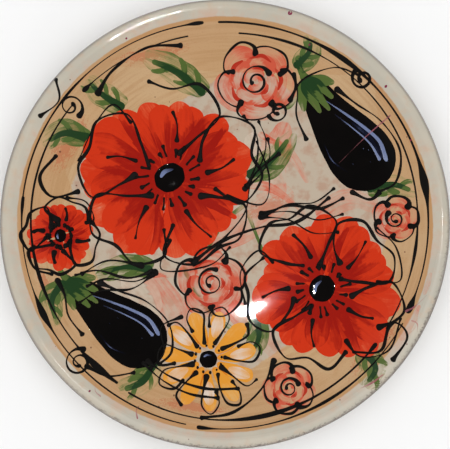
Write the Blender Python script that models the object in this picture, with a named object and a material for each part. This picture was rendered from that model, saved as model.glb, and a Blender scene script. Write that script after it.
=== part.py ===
"""A large hand-thrown serving plate: one turned stoneware solid.

The plate lies flat with its painted side up and +Z up. The origin is on the table at the centre of
the foot ring. The body is a middle curve with a wall laid around it: a floor that is dished from its
centre, a wall that rises out of it and thickens towards a rolled round lip. A foot ring is turned on
the underside.
"""
import math

import bmesh
import bpy

MM = 0.001

# Driving dimensions, in metres.
PLATE_RADIUS = 160 * MM
PLATE_HEIGHT = 36 * MM
FLOOR_THICKNESS = 7.4 * MM
LIP_THICKNESS = 10.8 * MM
FLOOR_RADIUS = 92 * MM
FLOOR_DISH = 4.0 * MM
DISH_POWER = 2.5
WALL_POWER = 2.4

FOOT_HEIGHT = 4 * MM
FOOT_RADIUS = 96 * MM
FOOT_WIDTH = 9 * MM
FOOT_TAPER = 2 * MM
FOOT_ROUNDING = 1.5 * MM

# How finely the turned shape is divided.
SEGMENTS = 96
FLOOR_RINGS = 6
WALL_RINGS = 9
LIP_TOP_RINGS = 4
LIP_SIDE_RINGS = 2
ROUNDING_RINGS = 2
RECESS_RINGS = 5

# The glaze in the sand colour that covers most of the painted side, as linear red, green and blue.
GLAZE_COLOUR = (0.52, 0.36, 0.22, 1.0)
GLAZE_ROUGHNESS = 0.22

LIP_ROUNDING = LIP_THICKNESS / 2
LIP_CENTRE_RADIUS = PLATE_RADIUS - LIP_ROUNDING
FOOT_INNER_RADIUS = FOOT_RADIUS - FOOT_WIDTH
MIDDLE_AT_CENTRE = FOOT_HEIGHT + FLOOR_THICKNESS / 2
MIDDLE_AT_LIP = PLATE_HEIGHT - LIP_ROUNDING


def dish_rise(radius):
    """Rise of the middle curve from the dish of the floor, a power a little above a parabola's."""
    return FLOOR_DISH * (radius / FLOOR_RADIUS) ** DISH_POWER


WALL_RISE = MIDDLE_AT_LIP - MIDDLE_AT_CENTRE - dish_rise(LIP_CENTRE_RADIUS)


def wall_share(radius):
    """How far a radius lies along the wall: 0 on the floor, 1 at the centre of the lip."""
    return max(0.0, (radius - FLOOR_RADIUS) / (LIP_CENTRE_RADIUS - FLOOR_RADIUS))


def middle_height(radius):
    """Height of the curve half-way through the thickness: the dish plus a power of the wall share."""
    return MIDDLE_AT_CENTRE + dish_rise(radius) + WALL_RISE * wall_share(radius) ** WALL_POWER


def middle_angle(radius):
    """Slope of the middle curve as an angle, from the derivative of its height."""
    dish_slope = FLOOR_DISH * DISH_POWER * (radius / FLOOR_RADIUS) ** (DISH_POWER - 1) / FLOOR_RADIUS
    wall_length = LIP_CENTRE_RADIUS - FLOOR_RADIUS
    wall_slope = WALL_RISE * WALL_POWER * wall_share(radius) ** (WALL_POWER - 1) / wall_length
    return math.atan(dish_slope + wall_slope)


def half_thickness(radius):
    """Half the wall: it grows towards the lip by 3 t^2 - 2 t^3, with t the square of the wall share."""
    share = wall_share(radius) ** 2
    growth = (LIP_THICKNESS - FLOOR_THICKNESS) * (3 * share ** 2 - 2 * share ** 3)
    return (FLOOR_THICKNESS + growth) / 2


def surface_point(radius, side):
    """Point on the upper (side 1) or lower (side -1) surface, square off the middle curve."""
    angle = middle_angle(radius)
    offset = side * half_thickness(radius)
    return radius - offset * math.sin(angle), middle_height(radius) + offset * math.cos(angle)


def spread(first, last, steps):
    """Evenly spaced values from first to last, without first and with last."""
    return [first + (last - first) * step / steps for step in range(1, steps + 1)]


def arc_points(centre, size, first_angle, last_angle, steps):
    """Points on a circle's arc, both ends included."""
    angles = [first_angle] + spread(first_angle, last_angle, steps)
    return [(centre[0] + size * math.cos(a), centre[1] + size * math.sin(a)) for a in angles]


def upper_profile():
    """The painted side: the centre, the floor and the wall, up to where the lip starts."""
    floor = [surface_point(radius, 1) for radius in spread(0, FLOOR_RADIUS, FLOOR_RINGS)]
    wall = [surface_point(radius, 1) for radius in spread(FLOOR_RADIUS, LIP_CENTRE_RADIUS, WALL_RINGS)]
    return [surface_point(0, 1)] + floor + wall


def lip_profile():
    """The round lip: half a circle in three arcs, with a point right on its crest and on its rim."""
    angle = middle_angle(LIP_CENTRE_RADIUS)
    centre = (LIP_CENTRE_RADIUS, MIDDLE_AT_LIP)
    crest = math.pi / 2
    inner = arc_points(centre, LIP_ROUNDING, angle + crest, crest, LIP_SIDE_RINGS)
    top = arc_points(centre, LIP_ROUNDING, crest, 0, LIP_TOP_RINGS)
    outer = arc_points(centre, LIP_ROUNDING, 0, angle - crest, LIP_SIDE_RINGS)
    return inner[1:] + top[1:] + outer[1:]


def foot_profile():
    """The foot ring's section: tapered sides, rounded bottom edges and a flat face at height 0."""
    outer_centre = (FOOT_RADIUS - FOOT_ROUNDING, FOOT_ROUNDING)
    inner_centre = (FOOT_INNER_RADIUS + FOOT_ROUNDING, FOOT_ROUNDING)
    outer = arc_points(outer_centre, FOOT_ROUNDING, 0, -math.pi / 2, ROUNDING_RINGS)
    inner = arc_points(inner_centre, FOOT_ROUNDING, -math.pi / 2, -math.pi, ROUNDING_RINGS)
    return outer + inner


def lower_profile():
    """The underside: down the wall, round the foot ring and in over the recess to the centre."""
    foot_top = FOOT_RADIUS + FOOT_TAPER
    recess_edge = FOOT_INNER_RADIUS - FOOT_TAPER
    wall = [surface_point(radius, -1) for radius in spread(LIP_CENTRE_RADIUS, foot_top, WALL_RINGS)]
    recess = [surface_point(radius, -1) for radius in spread(recess_edge, 0, RECESS_RINGS)]
    return wall + foot_profile() + [surface_point(recess_edge, -1)] + recess


def glaze_material():
    """Glossy glaze in the colour of the painted side's ground."""
    material = bpy.data.materials.new("glaze")
    material.use_nodes = True
    shader = material.node_tree.nodes["Principled BSDF"]
    shader.inputs["Base Color"].default_value = GLAZE_COLOUR
    shader.inputs["Roughness"].default_value = GLAZE_ROUGHNESS
    shader.inputs["Metallic"].default_value = 0.0
    return material


def turned_mesh(name, profile):
    """Closed mesh of a profile (radius, height) turned once round the Z axis."""
    shape = bmesh.new()
    verts = [shape.verts.new((radius, 0, height)) for radius, height in profile]
    edges = [shape.edges.new(pair) for pair in zip(verts, verts[1:])]
    bmesh.ops.spin(
        shape,
        geom=verts + edges,
        cent=(0, 0, 0),
        axis=(0, 0, 1),
        angle=2 * math.pi,
        steps=SEGMENTS,
        use_merge=True,
    )
    bmesh.ops.remove_doubles(shape, verts=shape.verts, dist=0.001 * MM)
    bmesh.ops.recalc_face_normals(shape, faces=shape.faces)
    mesh = bpy.data.meshes.new(name)
    shape.to_mesh(mesh)
    shape.free()
    return mesh


def build_plate():
    """The whole plate, one turned solid."""
    mesh = turned_mesh("plate", upper_profile() + lip_profile() + lower_profile())
    mesh.materials.append(glaze_material())
    mesh.shade_smooth()
    mesh.set_sharp_from_angle(angle=math.radians(40))
    plate = bpy.data.objects.new("plate", mesh)
    bpy.context.scene.collection.objects.link(plate)
    return plate


for old in list(bpy.data.objects):
    bpy.data.objects.remove(old, do_unlink=True)

build_plate()
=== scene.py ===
# %% [markdown]
# # A hand-painted serving plate
#
# The real object is one thrown plate, 320 mm across. The potter dips it in cream glaze, brushes a
# sand-coloured ground over the inside, paints on that with a loaded brush, bands it on the wheel
# and draws the outlines last with black slip from a trailer. It is then fired glossy.
#
# This script follows the same order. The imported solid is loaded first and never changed. Every
# length below is in millimetres until a mesh is made, because that is how a potter measures.

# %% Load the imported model
import math

import bpy
import numpy as np
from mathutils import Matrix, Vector


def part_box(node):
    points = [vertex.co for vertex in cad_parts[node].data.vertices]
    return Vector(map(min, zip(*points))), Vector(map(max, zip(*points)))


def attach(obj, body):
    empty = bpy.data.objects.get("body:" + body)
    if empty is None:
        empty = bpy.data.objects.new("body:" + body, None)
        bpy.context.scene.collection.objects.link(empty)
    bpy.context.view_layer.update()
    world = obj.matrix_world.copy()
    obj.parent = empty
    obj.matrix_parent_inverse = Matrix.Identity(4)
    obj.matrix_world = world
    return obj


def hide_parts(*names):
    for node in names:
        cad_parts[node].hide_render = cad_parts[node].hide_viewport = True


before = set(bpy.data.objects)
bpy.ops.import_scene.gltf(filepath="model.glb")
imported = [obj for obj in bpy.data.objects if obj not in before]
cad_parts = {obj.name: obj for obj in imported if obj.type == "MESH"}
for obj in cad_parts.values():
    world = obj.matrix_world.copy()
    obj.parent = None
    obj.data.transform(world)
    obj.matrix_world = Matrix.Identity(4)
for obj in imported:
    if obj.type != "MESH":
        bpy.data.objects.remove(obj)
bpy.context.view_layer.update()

MM = 0.001
plate_low, plate_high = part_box("plate")
PLATE_RADIUS = (plate_high[0] - plate_low[0]) / 2 / MM
PLATE_HEIGHT = (plate_high[2] - plate_low[2]) / MM
print(f"plate: radius {PLATE_RADIUS:.1f} mm, height {PLATE_HEIGHT:.1f} mm")

# %% [markdown]
# ## The body's section
#
# A plate is turned, so one section says everything about its form. It could be traced point by
# point, but a rule is easier to read and to change: a middle curve that is dished from the centre
# and rises faster in the wall, with half of the wall's thickness laid off square to it on each
# side. The same rule gives the height of the glaze anywhere on the painted side, which every brush
# stroke needs later.

# %% The section's sizes and its rule
FLOOR_THICKNESS = 7.4
LIP_THICKNESS = 10.8
FLOOR_RADIUS = 92.0
FLOOR_DISH = 4.0
DISH_POWER = 2.5
WALL_POWER = 2.4
FOOT_HEIGHT = 4.0
FOOT_RADIUS = 96.0
FOOT_WIDTH = 9.0
FOOT_TAPER = 2.0
FOOT_ROUNDING = 1.5

LIP_ROUNDING = LIP_THICKNESS / 2
LIP_CENTRE = PLATE_RADIUS - LIP_ROUNDING
MIDDLE_AT_CENTRE = FOOT_HEIGHT + FLOOR_THICKNESS / 2
MIDDLE_AT_LIP = PLATE_HEIGHT - LIP_ROUNDING
DISH_AT_LIP = FLOOR_DISH * (LIP_CENTRE / FLOOR_RADIUS) ** DISH_POWER
WALL_RISE = MIDDLE_AT_LIP - MIDDLE_AT_CENTRE - DISH_AT_LIP


def section_point(radius, side):
    """Upper (side 1) or lower (side -1) surface: the middle curve, moved half the wall's thickness
    square to its slope. The middle is one power of the distance for the dish plus one of the share
    of the wall covered. The thickness grows by the smooth step of that share squared."""
    share = np.clip((radius - FLOOR_RADIUS) / (LIP_CENTRE - FLOOR_RADIUS), 0, 1)
    dish = FLOOR_DISH * (radius / FLOOR_RADIUS) ** DISH_POWER
    height = MIDDLE_AT_CENTRE + dish + WALL_RISE * share ** WALL_POWER
    slope = FLOOR_DISH * DISH_POWER * (radius / FLOOR_RADIUS) ** (DISH_POWER - 1) / FLOOR_RADIUS
    slope = slope + WALL_RISE * WALL_POWER * share ** (WALL_POWER - 1) / (LIP_CENTRE - FLOOR_RADIUS)
    angle = np.arctan(slope)
    growth = 3 * share ** 4 - 2 * share ** 6
    offset = side * (FLOOR_THICKNESS + (LIP_THICKNESS - FLOOR_THICKNESS) * growth) / 2
    return np.stack([radius - offset * np.sin(angle), height + offset * np.cos(angle)], 1), angle


def arc(centre, size, first, last, count):
    """Points on a circle's arc, from the angle first to the angle last."""
    angle = np.linspace(first, last, count)
    return np.stack([centre[0] + size * np.cos(angle), centre[1] + size * np.sin(angle)], 1)


TOP_POINTS = 90
LIP_POINTS = 30
PAINTED_LIP_POINTS = 18
quarter = math.pi / 2
top_side, top_angle = section_point(np.linspace(0, LIP_CENTRE, TOP_POINTS), 1)
lip_turn = top_angle[-1]
lip_middle = (LIP_CENTRE, MIDDLE_AT_LIP)
lip = arc(lip_middle, LIP_ROUNDING, lip_turn + quarter, lip_turn - quarter, LIP_POINTS)
GLAZE_LINE = np.vstack([top_side, lip[1:PAINTED_LIP_POINTS]])
print(f"wall slope at the lip {math.degrees(lip_turn):.1f} degrees, crest {lip[:, 1].max():.2f} mm")


def glaze_height(radius):
    """Height of the painted surface at a distance from the centre, read off the section."""
    return np.interp(radius, GLAZE_LINE[:, 0], GLAZE_LINE[:, 1])


# %% [markdown]
# ## What the hand leaves
#
# A thrown plate is never quite true. Its rim wanders by up to a fifth of a millimetre, and the lip
# carries small flats from the fingers. Without them the highlight on the lip is one smooth line,
# and the plate looks cast. Each is a sum of waves round the plate that grows towards the rim. The
# same shift is given to the paint, so that paint and body stay together.

# %% Waves round the rim
RISE_WAVES = {2: 0.12, 3: 0.06, 5: 0.02, 11: 0.010, 19: 0.005, 31: 0.005, 43: 0.004}
REACH_WAVES = {2: 0.10, 3: 0.08, 7: 0.04}


def wave_sum(angle, waves, shift):
    """Sum of sine waves round the plate; waves gives each wave's size by its count per turn."""
    return sum(size * np.sin(count * angle + shift * count ** 1.5) for count, size in waves.items())


def hand_made(points):
    """Shifts points (x, y, z) by the waves, in full at the rim, by the fourth power inside."""
    radius = np.hypot(points[:, 0], points[:, 1])
    angle = np.arctan2(points[:, 1], points[:, 0])
    share = np.clip(radius / PLATE_RADIUS, 0, 1) ** 4
    reach = 1 + share * wave_sum(angle, REACH_WAVES, 0.7) / PLATE_RADIUS
    rise = share * wave_sum(angle, RISE_WAVES, 1.3)
    return np.stack([points[:, 0] * reach, points[:, 1] * reach, points[:, 2] + rise], 1)


# %% [markdown]
# ## From arrays to a mesh
#
# Every piece here is worked out as whole arrays and handed to Blender in one go. This helper takes
# the points, the four-sided faces and, if there are any, the three-sided ones.

# %% One helper that makes a piece
NO_TRIANGLES = np.zeros((0, 3), int)


def show(name, data):
    """Object of some data, linked to the scene at the origin."""
    shown = bpy.data.objects.new(name, data)
    bpy.context.scene.collection.objects.link(shown)
    return shown


def make_piece(name, points, quads, triangles, material):
    """Mesh object of points in millimetres, smooth shaded, that rides with the plate."""
    mesh = bpy.data.meshes.new(name)
    corners = np.concatenate([quads.ravel(), triangles.ravel()]).astype(np.int32)
    four = np.arange(len(quads)) * 4
    three = len(quads) * 4 + np.arange(len(triangles)) * 3
    mesh.vertices.add(len(points))
    mesh.vertices.foreach_set("co", (hand_made(points) * MM).astype(np.float32).ravel())
    mesh.loops.add(len(corners))
    mesh.loops.foreach_set("vertex_index", corners)
    mesh.polygons.add(len(quads) + len(triangles))
    mesh.polygons.foreach_set("loop_start", np.concatenate([four, three]).astype(np.int32))
    mesh.update(calc_edges=True)
    mesh.shade_smooth()
    mesh.materials.append(material)
    piece = show(name, mesh)
    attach(piece, "root")
    print(f"{name}: {len(points)} points, {2 * len(quads) + len(triangles)} triangles")
    return piece


def set_point_values(mesh, name, values):
    """Stores one number for each point of the mesh under a name that a material can read."""
    layer = mesh.attributes.new(name, "FLOAT", "POINT")
    layer.data.foreach_set("value", values.astype(np.float32))


def set_point_colours(mesh, name, values):
    """Stores one linear colour for each point of the mesh."""
    layer = mesh.attributes.new(name, "FLOAT_COLOR", "POINT")
    solid = np.concatenate([values, np.ones((len(values), 1))], 1)
    layer.data.foreach_set("color", solid.astype(np.float32).ravel())


# %% [markdown]
# ## Building materials from code
#
# Node trees are wordy, so a small helper keeps each one readable: a value that is a socket is
# linked, and any other value is set on the input. Colours are given as the red, green and blue
# that a picture shows, 0 to 255, and turned into the linear colour that shaders work in.

# %% Colours and a node helper
STUDIO_LEVEL = 1.08


def linear(red, green, blue):
    """sRGB from 0 to 255 as linear light, by the standard's two-part curve, divided by the strength
    of the studio's light on the plate, so that the render shows the colour that was asked for."""
    value = np.array([red, green, blue]) / 255
    low = value / 12.92
    high = ((value + 0.055) / 1.055) ** 2.4
    return tuple(float(v) / STUDIO_LEVEL for v in np.where(value <= 0.04045, low, high))


class Nodes:
    """Adds nodes to a tree, and gives back the socket that the next node reads."""

    def __init__(self, tree):
        self.tree = tree

    def add(self, kind, inputs=(), **settings):
        node = self.tree.nodes.new(kind)
        for name, value in settings.items():
            setattr(node, name, value)
        for key, value in dict(inputs).items():
            self.put(value, node.inputs[key])
        return node

    def put(self, value, socket):
        if isinstance(value, bpy.types.NodeSocket):
            self.tree.links.new(value, socket)
        elif socket.type == "RGBA":
            socket.default_value = (*value, 1.0)
        else:
            socket.default_value = value

    def maths(self, operation, first, second=0.0):
        return self.add("ShaderNodeMath", {0: first, 1: second}, operation=operation).outputs[0]

    def plus(self, first, second):
        return self.maths("ADD", first, second)

    def times(self, first, second):
        return self.maths("MULTIPLY", first, second)

    def vector(self, operation, first, second=(0.0, 0.0, 0.0)):
        inputs = {0: first, 1: second}
        return self.add("ShaderNodeVectorMath", inputs, operation=operation).outputs[0]

    def dot(self, first, second):
        node = self.add("ShaderNodeVectorMath", {0: first, 1: second}, operation="DOT_PRODUCT")
        return node.outputs["Value"]

    def length(self, vector):
        return self.add("ShaderNodeVectorMath", {0: vector}, operation="LENGTH").outputs["Value"]

    def scaled(self, vector, scale):
        node = self.add("ShaderNodeVectorMath", {0: vector, "Scale": scale}, operation="SCALE")
        return node.outputs[0]

    def step(self, value, low, high):
        """0 below low, 1 above high, and smooth in between."""
        inputs = {"Value": value, "From Min": low, "From Max": high}
        return self.add("ShaderNodeMapRange", inputs, interpolation_type="SMOOTHSTEP").outputs[0]

    def mix(self, factor, first, second):
        """Mix of two colours. The node has inputs for every data type; 6 and 7 are its colours."""
        inputs = {0: factor, 6: first, 7: second}
        return self.add("ShaderNodeMix", inputs, data_type="RGBA").outputs[2]

    def tint(self, colour, other, value, low, high, share=1.0):
        """Goes from one colour towards another, by share at most, as a value goes low to high."""
        factor = self.step(value, low, high)
        return self.mix(factor if share == 1.0 else self.times(factor, share), colour, other)

    def noise(self, vector, scale, detail=3.0, roughness=0.55):
        inputs = {"Vector": vector, "Scale": scale, "Detail": detail, "Roughness": roughness}
        return self.add("ShaderNodeTexNoise", inputs).outputs["Fac"]

    def swing(self, noise, size):
        """Noise turned into a value that swings round zero."""
        return self.times(self.maths("SUBTRACT", noise, 0.5), size)

    def place(self):
        """Object coordinates in millimetres."""
        return self.scaled(self.add("ShaderNodeTexCoord").outputs["Object"], 1 / MM)

    def stored(self, name, output="Fac"):
        """What the mesh stores under a name."""
        return self.add("ShaderNodeAttribute", attribute_name=name).outputs[output]


def new_group(name, inputs, outputs):
    """Empty shader node group with named sockets, its helper, and its two end nodes."""
    group = bpy.data.node_groups.new(name, "ShaderNodeTree")
    for label, kind in inputs:
        group.interface.new_socket(label, in_out="INPUT", socket_type=f"NodeSocket{kind}")
    for label, kind in outputs:
        group.interface.new_socket(label, in_out="OUTPUT", socket_type=f"NodeSocket{kind}")
    nodes = Nodes(group)
    return group, nodes, nodes.add("NodeGroupInput"), nodes.add("NodeGroupOutput")


# %% [markdown]
# ## The ground: cream rim, sand band, pale centre
#
# All the paint lies on one ground, and thin paint lets it show, so the ground is a node group that
# the plate's own material and every paint read at the same place. It uses Object coordinates, as
# each piece here has its origin at the plate's centre.
#
# The sand colour was laid with a wide flat brush, in straight pulls round a pale centre that was
# left bare. Each pull is everything beyond a straight line, so the centre is a lopsided polygon
# with crisp sides, and where two pulls overlap the sand is deeper.

# %% The ground's colours and edges
CREAM = linear(204, 195, 178)
CREAM_WARM = linear(206, 186, 163)
CREAM_COOL = linear(196, 190, 175)
BLUSH = linear(212, 178, 156)
SAND_LIGHT = linear(205, 170, 129)
SAND = linear(200, 160, 117)
SAND_DARK = linear(188, 146, 102)
SAND_EDGE = linear(196, 148, 100)
PALE = linear(196, 180, 160)
PALE_PINK = linear(189, 158, 136)
TERRACOTTA = linear(194, 108, 72)
RUST = linear(166, 112, 84)
FLECK = linear(104, 58, 48)
# Dark grey for the lip's outer side: painted shade where the lip turns away from the light, and
# glaze that breaks thin there.
LIP_EDGE_SHADE_AND_THIN_GLAZE = linear(112, 102, 96)
WEAR = linear(104, 88, 80)
BAND_EDGE = 147.6
# Roughness that the lip adds, all round and where it is worn.
LIP_ROUGHNESS = 0.014
WORN_ROUGHNESS = 0.45
# Heights of the skin's long ripple, the lip's dimples and the grain.
RIPPLE = 0.1
DIMPLES = 0.03
GRAIN = 0.0008

# Each pull of the flat brush: direction of its middle in degrees, and how far out it starts.
PULLS = [(8, 118), (47, 101), (88, 109), (121, 92), (158, 112),
         (196, 98), (232, 114), (268, 103), (304, 96), (338, 111)]
PULL_EDGE = 1.6
# Dry-brushed patches of terracotta: middle, half length, half width and turn in degrees.
PATCHES = [
    ((-52.0, 122.0, 0.0), 36.0, 7.0, 12.0),
    ((-112.0, 58.0, 0.0), 30.0, 11.0, 60.0),
    ((106.0, -88.0, 0.0), 34.0, 9.0, 48.0),
    ((112.0, 100.0, 0.0), 22.0, 6.0, -42.0),
    ((-24.0, -130.0, 0.0), 36.0, 6.0, -8.0),
    ((-128.0, -44.0, 0.0), 20.0, 6.0, -70.0),
    ((30.0, 12.0, 0.0), 26.0, 9.0, 24.0),
]
PATCH_STRENGTH = 0.62


def patch_mask(n, flat, grain, middle, length, width, turn):
    """Mask of one dry-brushed patch: an ellipse, broken up by grain drawn along the stroke."""
    away = n.vector("SUBTRACT", flat, middle)
    inputs = {"Vector": away, "Angle": math.radians(-turn)}
    spin = n.add("ShaderNodeVectorRotate", inputs).outputs[0]
    reach = n.length(n.vector("DIVIDE", spin, (length, width, 1.0)))
    bristle = n.noise(n.vector("MULTIPLY", spin, (0.16, 0.5, 0.0)), 1.0, detail=4.0, roughness=0.75)
    load = n.maths("SUBTRACT", n.plus(n.times(bristle, 2.2), n.times(grain, 1.2)), reach)
    return n.times(n.step(load, 0.95, 1.35), PATCH_STRENGTH)


def build_ground():
    """Node group of the ground's colour, its roughness and its height, from Object coordinates."""
    outputs = [("Colour", "Color"), ("Roughness", "Float"), ("Height", "Float")]
    group, n, _, end = new_group("painted ground", [], outputs)
    place = n.place()
    flat = n.vector("MULTIPLY", place, (1.0, 1.0, 0.0))
    radius = n.length(flat)
    outward = n.add("ShaderNodeCombineXYZ", {"Z": radius}).outputs[0]
    wheel = n.vector("ADD", n.scaled(n.vector("NORMALIZE", flat), 2.6), n.scaled(outward, 0.42))
    streaks = n.noise(wheel, 1.0, detail=5.0)
    cloud = n.noise(flat, 0.024, detail=3.0)
    mottle = n.noise(flat, 0.12, detail=4.0)
    grain = n.noise(flat, 0.9, detail=3.0, roughness=0.65)
    edge_shake = n.plus(n.swing(mottle, 2.4), n.swing(grain, 1.1))

    pulls = 0.0
    for turn, start in PULLS:
        across = (math.cos(math.radians(turn)), math.sin(math.radians(turn)), 0.0)
        reach = n.plus(n.dot(flat, across), n.times(edge_shake, 1.5))
        pulls = n.plus(n.step(reach, start, start + PULL_EDGE), pulls)
    sand = n.tint(SAND_LIGHT, SAND, pulls, 1.0, 2.0)
    sand = n.tint(sand, SAND_DARK, streaks, 0.42, 0.62, 0.55)
    sand = n.tint(sand, SAND_LIGHT, cloud, 0.48, 0.66, 0.6)
    sand = n.tint(sand, RUST, grain, 0.50, 0.72, 0.22)
    pale = n.tint(PALE, PALE_PINK, mottle, 0.44, 0.68)
    colour = n.tint(pale, sand, pulls, 0.0, 0.9)

    rough_radius = n.plus(radius, n.swing(mottle, 1.6))
    border = n.step(rough_radius, BAND_EDGE - 5, BAND_EDGE - 2.5)
    border = n.times(border, n.step(streaks, 0.34, 0.54))
    colour = n.mix(n.times(border, n.step(cloud, 0.30, 0.62)), colour, SAND_EDGE)
    for patch in PATCHES:
        colour = n.mix(patch_mask(n, flat, grain, *patch), colour, TERRACOTTA)

    rim = n.tint(CREAM_COOL, CREAM, cloud, 0.40, 0.60)
    rim = n.tint(rim, CREAM_WARM, mottle, 0.50, 0.72, 0.8)
    blush = n.step(n.noise(flat, 0.045, 4.0, 0.7), 0.46, 0.66)
    blush = n.times(n.step(radius, 156.0, 149.0), blush)
    rim = n.mix(n.times(blush, 0.7), rim, BLUSH)
    colour = n.tint(colour, rim, rough_radius, BAND_EDGE - 0.4, BAND_EDGE + 0.5)

    cells = n.add("ShaderNodeTexVoronoi", {"Vector": flat, "Scale": 0.085})
    chance = n.add("ShaderNodeSeparateColor", {0: cells.outputs["Color"]}).outputs[0]
    fleck = n.maths("SUBTRACT", n.times(chance, 0.088), cells.outputs["Distance"])
    colour = n.tint(colour, FLECK, fleck, 0.012, 0.03, 0.8)

    south = n.step(n.dot(n.vector("NORMALIZE", flat), (0.35, -0.93, 0.0)), 0.1, 0.8)
    worn = n.step(n.noise(place, 0.42, 4.0, 0.75), 0.50, 0.60)
    worn = n.times(n.step(radius, 155.6, 158.4), worn)
    colour = n.mix(n.times(n.times(worn, south), 0.8), colour, WEAR)
    # Painted shade: the lip's outer side is darkened for the light it turns away from, and partly
    # for the glaze that breaks thin there.
    colour = n.tint(colour, LIP_EDGE_SHADE_AND_THIN_GLAZE, radius, 157.0, 159.6, 0.85)
    n.put(colour, end.inputs["Colour"])

    # The lip is handled more than the well, so it is a little duller, and dull where it is worn.
    on_lip = n.step(radius, 150.0, 152.0)
    skin = n.add("ShaderNodeMapRange", {"Value": mottle, "To Min": 0.01, "To Max": 0.02})
    rub = n.times(on_lip, n.plus(n.times(south, WORN_ROUGHNESS), LIP_ROUGHNESS))
    n.put(n.plus(skin.outputs[0], rub), end.inputs["Roughness"])
    ripple = n.times(n.noise(place, 0.06, detail=1.5), RIPPLE)
    dimples = n.times(n.times(on_lip, n.noise(place, 0.4, detail=1.0)), DIMPLES)
    n.put(n.plus(ripple, n.plus(dimples, n.times(grain, GRAIN))), end.inputs["Height"])
    return group


ground = build_ground()

# %% [markdown]
# ## The glaze's gloss
#
# Fired glaze is coloured glass: its colour comes from inside, and its skin is very smooth. The
# Principled shader needs no more than a low roughness for that. What makes it read as glaze and not
# as plastic is the long, lazy ripple of the skin, which a Bump node adds from the height. Slip holds
# less glass than glaze, so the black lines get a higher roughness and a lower specular level.

# %% A glazed material
def glazed(name, finish, bump=0.1, specular=0.5):
    """Material from finish(nodes), which gives the colour, the height and the roughness."""
    material = bpy.data.materials.new(name)
    material.use_nodes = True
    shader = material.node_tree.nodes["Principled BSDF"]
    n = Nodes(material.node_tree)
    colour, height, rough = finish(n)
    bumped = n.add("ShaderNodeBump", {"Height": height, "Distance": bump * MM, "Strength": 1.0})
    n.put(colour, shader.inputs["Base Color"])
    n.put(bumped.outputs[0], shader.inputs["Normal"])
    n.put(rough, shader.inputs["Roughness"])
    shader.inputs["IOR"].default_value = 1.5
    shader.inputs["Specular IOR Level"].default_value = specular
    return material


UNDER_CREAM = linear(208, 199, 184)
UNDER_SHADE = linear(196, 183, 164)
BARE_CLAY = linear(190, 146, 110)
BARE_CLAY_DARK = linear(164, 118, 86)
CLAY_ROUGHNESS = 0.85


def plate_finish(n):
    """Ground on the painted side, plain cream below it, and bare clay where the foot is wiped."""
    top = n.add("ShaderNodeGroup", node_tree=ground)
    place = n.place()
    below = n.tint(UNDER_CREAM, UNDER_SHADE, n.noise(place, 0.05, 4.0), 0.35, 0.7)
    clay = n.tint(BARE_CLAY, BARE_CLAY_DARK, n.noise(place, 1.6, 3.0), 0.3, 0.7)
    bare = n.stored("bare")
    colour = n.mix(bare, n.mix(n.stored("underside"), top.outputs["Colour"], below), clay)
    rough = n.maths("MAXIMUM", top.outputs["Roughness"], n.times(bare, CLAY_ROUGHNESS))
    return colour, top.outputs["Height"], rough


plate_glaze = glazed("cream and sand glaze", plate_finish)

# %% [markdown]
# ## The turned body
#
# The body is the section carried once round: a grid of section points by directions. The lower
# side gets the fine turning lines that a loop tool leaves, a spiral of shallow grooves. The two
# ends of the section are single points on the axis, so the grid closes there with triangles.

# %% The section as one run of points
SEGMENTS = 288
TURNING_PITCH = 3.2
TURNING_DEPTH = 0.09
UNGROUNDED_LIP_POINTS = 8
STILL_CENTRE = 2.0


def lower_section():
    """Underside from the lip to the centre: wall, foot ring with rounded edges, and recess."""
    foot_inner = FOOT_RADIUS - FOOT_WIDTH
    wall, _ = section_point(np.linspace(LIP_CENTRE, FOOT_RADIUS + FOOT_TAPER, 64), -1)
    outer = arc((FOOT_RADIUS - FOOT_ROUNDING, FOOT_ROUNDING), FOOT_ROUNDING, 0, -math.pi / 2, 5)
    corner = (foot_inner + FOOT_ROUNDING, FOOT_ROUNDING)
    inner = arc(corner, FOOT_ROUNDING, -math.pi / 2, -math.pi, 5)
    recess, _ = section_point(np.linspace(foot_inner - FOOT_TAPER, 0, 60), -1)
    recess[-1, 0] = 0.0
    return wall, np.vstack([outer, inner]), recess


wall_below, foot, recess = lower_section()
section = np.vstack([top_side, lip[1:-1], wall_below, foot, recess])
order = np.arange(len(section))
lip_end = len(top_side) + len(lip)
first_foot = len(section) - len(recess) - len(foot)
is_below = order >= lip_end - UNGROUNDED_LIP_POINTS
is_bare = (order >= first_foot) & (order < first_foot + len(foot))
is_turned = (order > lip_end) & ~is_bare & (section[:, 0] > STILL_CENTRE)
print(f"section: {len(section)} points")


# %% The body's grid
def turned_body(section, turned):
    """Section points carried round: (r cos a, r sin a, z), with grooves on the turned stretch."""
    angle = np.arange(SEGMENTS) * 2 * math.pi / SEGMENTS
    ring = section[1:-1]
    radius = ring[:, 0, None] + 0 * angle
    groove = np.sin(2 * math.pi * ring[:, 0, None] / TURNING_PITCH + angle) * TURNING_DEPTH
    height = ring[:, 1, None] + groove * turned[1:-1, None]
    points = np.stack([radius * np.cos(angle), radius * np.sin(angle), height], 2).reshape(-1, 3)
    poles = np.array([[0, 0, section[0, 1]], [0, 0, section[-1, 1]]])
    rows, columns = np.meshgrid(np.arange(len(ring) - 1), np.arange(SEGMENTS), indexing="ij")
    after = (columns + 1) % SEGMENTS
    quads = np.stack([rows * SEGMENTS + columns, (rows + 1) * SEGMENTS + columns,
                      (rows + 1) * SEGMENTS + after, rows * SEGMENTS + after], 2).reshape(-1, 4)
    here = np.arange(SEGMENTS)
    there = (here + 1) % SEGMENTS
    last = (len(ring) - 1) * SEGMENTS
    top_fan = np.stack([np.full(SEGMENTS, len(points)), here, there], 1)
    low_fan = np.stack([np.full(SEGMENTS, len(points) + 1), last + there, last + here], 1)
    return np.vstack([points, poles]), quads, np.vstack([top_fan, low_fan])


def round_values(values):
    """One value for each section point, repeated round the plate in the order of the points."""
    return np.concatenate([np.repeat(values[1:-1], SEGMENTS), values[[0, -1]]]).astype(float)


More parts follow.
